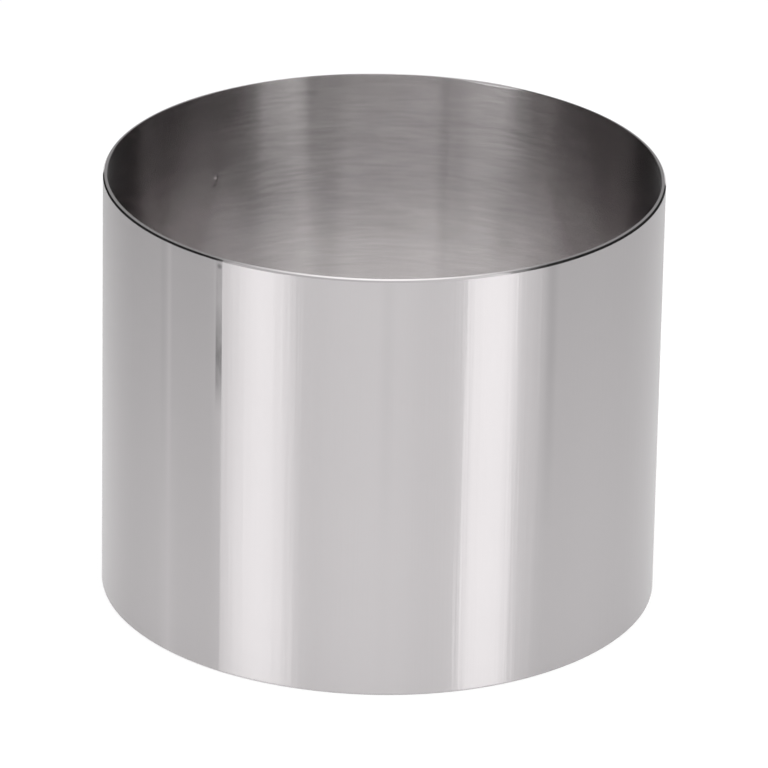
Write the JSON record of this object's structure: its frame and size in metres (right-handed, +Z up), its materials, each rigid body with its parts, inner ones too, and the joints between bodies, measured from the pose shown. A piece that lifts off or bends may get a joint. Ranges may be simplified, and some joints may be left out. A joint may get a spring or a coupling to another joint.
{
  "type": "pastry ring",
  "caption": "Open stainless steel ring with a thin wall, rolled from strip and closed by a dressed butt weld, for shaping and stacking pastry and food.",
  "frame": {"origin": "on the ring's axis, in the plane of the lower rim that it stands on", "axes": "+Z up along the ring's axis; the weld lies on the -Y side"},
  "size_m": [0.0762, 0.0762, 0.06],
  "materials": {
    "polished_steel": "rolled strip, polished outside and satin inside, with a fine grain round the ring",
    "dressed_weld": "weld metal ground and polished flush with the wall"
  },
  "bodies": {
    "root": {"ring_band": "polished_steel", "weld_seam": "dressed_weld"}
  },
  "joints": []
}
